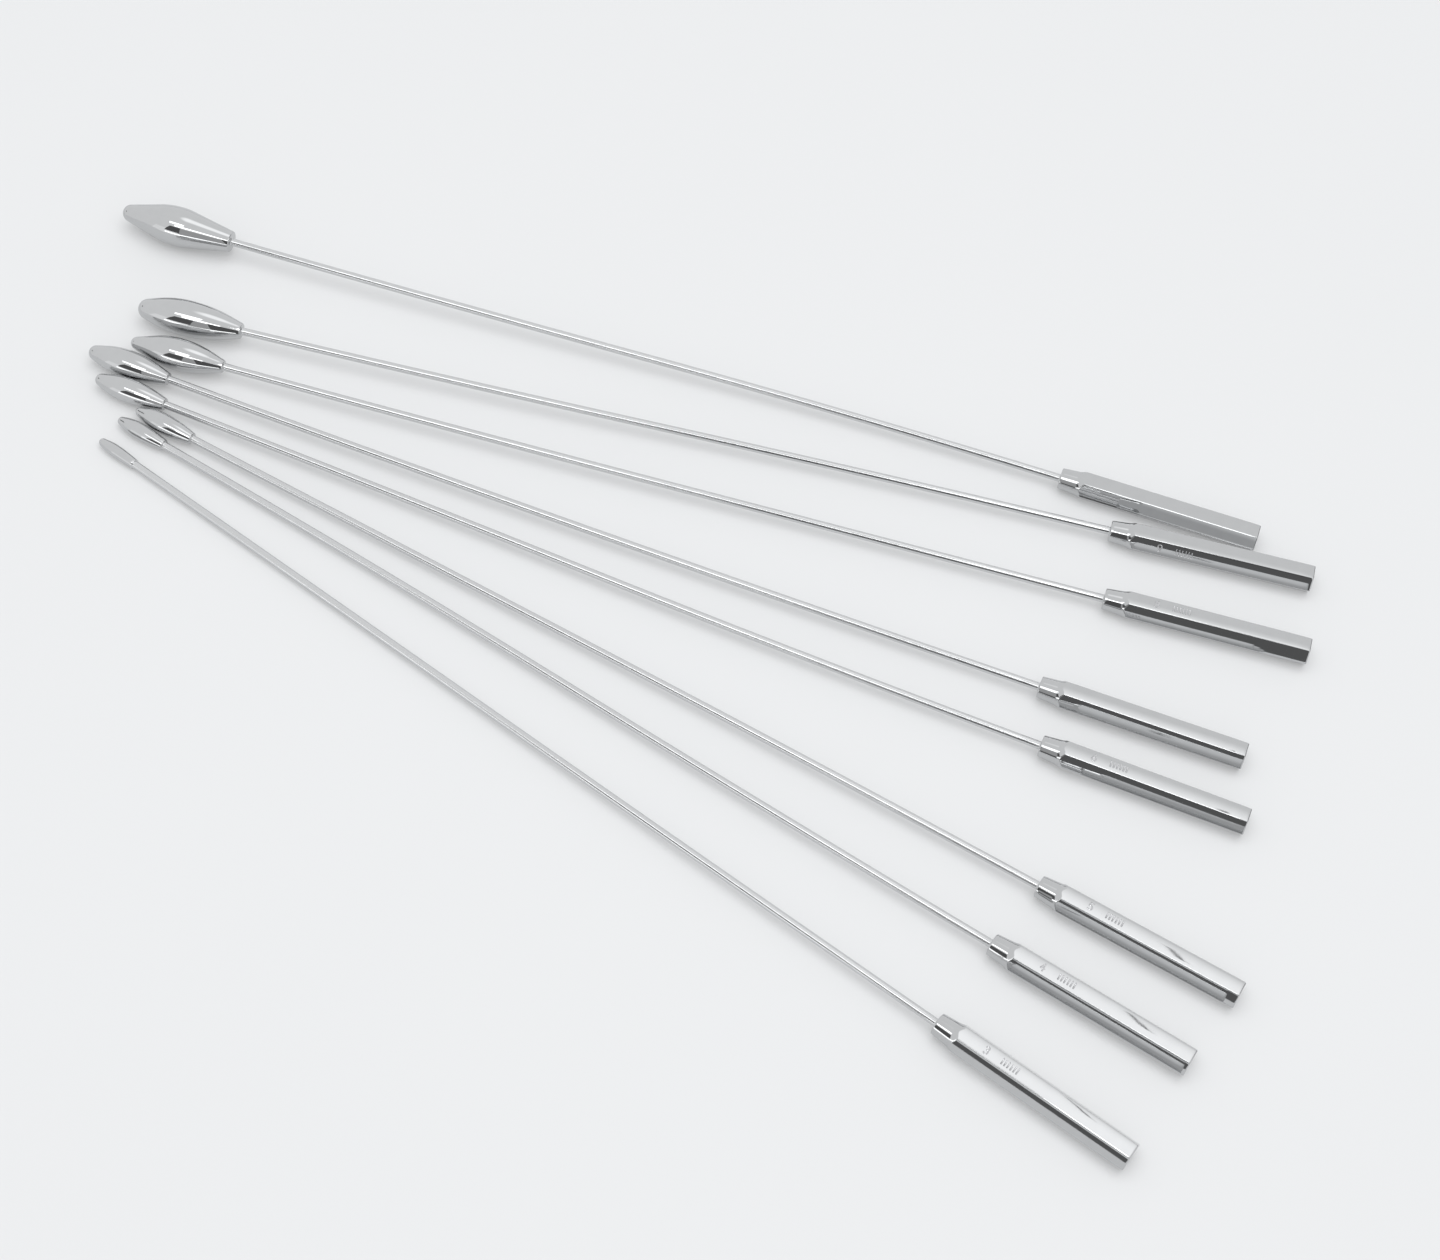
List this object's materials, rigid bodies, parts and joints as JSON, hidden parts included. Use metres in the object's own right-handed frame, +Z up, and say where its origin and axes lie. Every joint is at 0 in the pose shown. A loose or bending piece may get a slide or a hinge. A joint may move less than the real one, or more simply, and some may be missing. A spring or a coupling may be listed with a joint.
{
  "type": "olive-tipped dilator set",
  "caption": "Graded set of slim surgical dilators laid out in a fan, each with an olive-shaped tip, a thin malleable shaft and a hexagonal handle with a turned neck.",
  "frame": {"origin": "on the surface the set lies on, below the middle of the whole set's bounding box", "axes": "+Z up from the surface; +X along the set, from the olives towards the handles; +Y across the fan, from the smallest handle towards the largest"},
  "size_m": [0.3224, 0.1686, 0.01],
  "materials": {
    "steel_handle": "polished stainless steel",
    "steel_shaft": "polished malleable steel",
    "steel_olive": "bright polished steel"
  },
  "bodies": {
    "dilator_3mm": {"handle_3mm": "steel_handle", "shaft_3mm": "steel_shaft", "olive_3mm": "steel_olive"},
    "dilator_4mm": {"handle_4mm": "steel_handle", "shaft_4mm": "steel_shaft", "olive_4mm": "steel_olive"},
    "dilator_5mm": {"handle_5mm": "steel_handle", "shaft_5mm": "steel_shaft", "olive_5mm": "steel_olive"},
    "dilator_6mm": {"handle_6mm": "steel_handle", "shaft_6mm": "steel_shaft", "olive_6mm": "steel_olive"},
    "dilator_7mm": {"handle_7mm": "steel_handle", "shaft_7mm": "steel_shaft", "olive_7mm": "steel_olive"},
    "dilator_8mm": {"handle_8mm": "steel_handle", "shaft_8mm": "steel_shaft", "olive_8mm": "steel_olive"},
    "dilator_9mm": {"handle_9mm": "steel_handle", "shaft_9mm": "steel_shaft", "olive_9mm": "steel_olive"},
    "dilator_10mm": {"handle_10mm": "steel_handle", "shaft_10mm": "steel_shaft", "olive_10mm": "steel_olive"}
  },
  "joints": [
    {"name": "lift_3mm", "type": "slide", "parent": "dilator_10mm", "child": "dilator_3mm", "axis": [0, 0, 1], "range_m": [0, 0.03]},
    {"name": "lift_4mm", "type": "slide", "parent": "dilator_10mm", "child": "dilator_4mm", "axis": [0, 0, 1], "range_m": [0, 0.03]},
    {"name": "lift_5mm", "type": "slide", "parent": "dilator_10mm", "child": "dilator_5mm", "axis": [0, 0, 1], "range_m": [0, 0.03]},
    {"name": "lift_6mm", "type": "slide", "parent": "dilator_10mm", "child": "dilator_6mm", "axis": [0, 0, 1], "range_m": [0, 0.03]},
    {"name": "lift_7mm", "type": "slide", "parent": "dilator_10mm", "child": "dilator_7mm", "axis": [0, 0, 1], "range_m": [0, 0.03]},
    {"name": "lift_8mm", "type": "slide", "parent": "dilator_10mm", "child": "dilator_8mm", "axis": [0, 0, 1], "range_m": [0, 0.03]},
    {"name": "lift_9mm", "type": "slide", "parent": "dilator_10mm", "child": "dilator_9mm", "axis": [0, 0, 1], "range_m": [0, 0.03]}
  ]
}
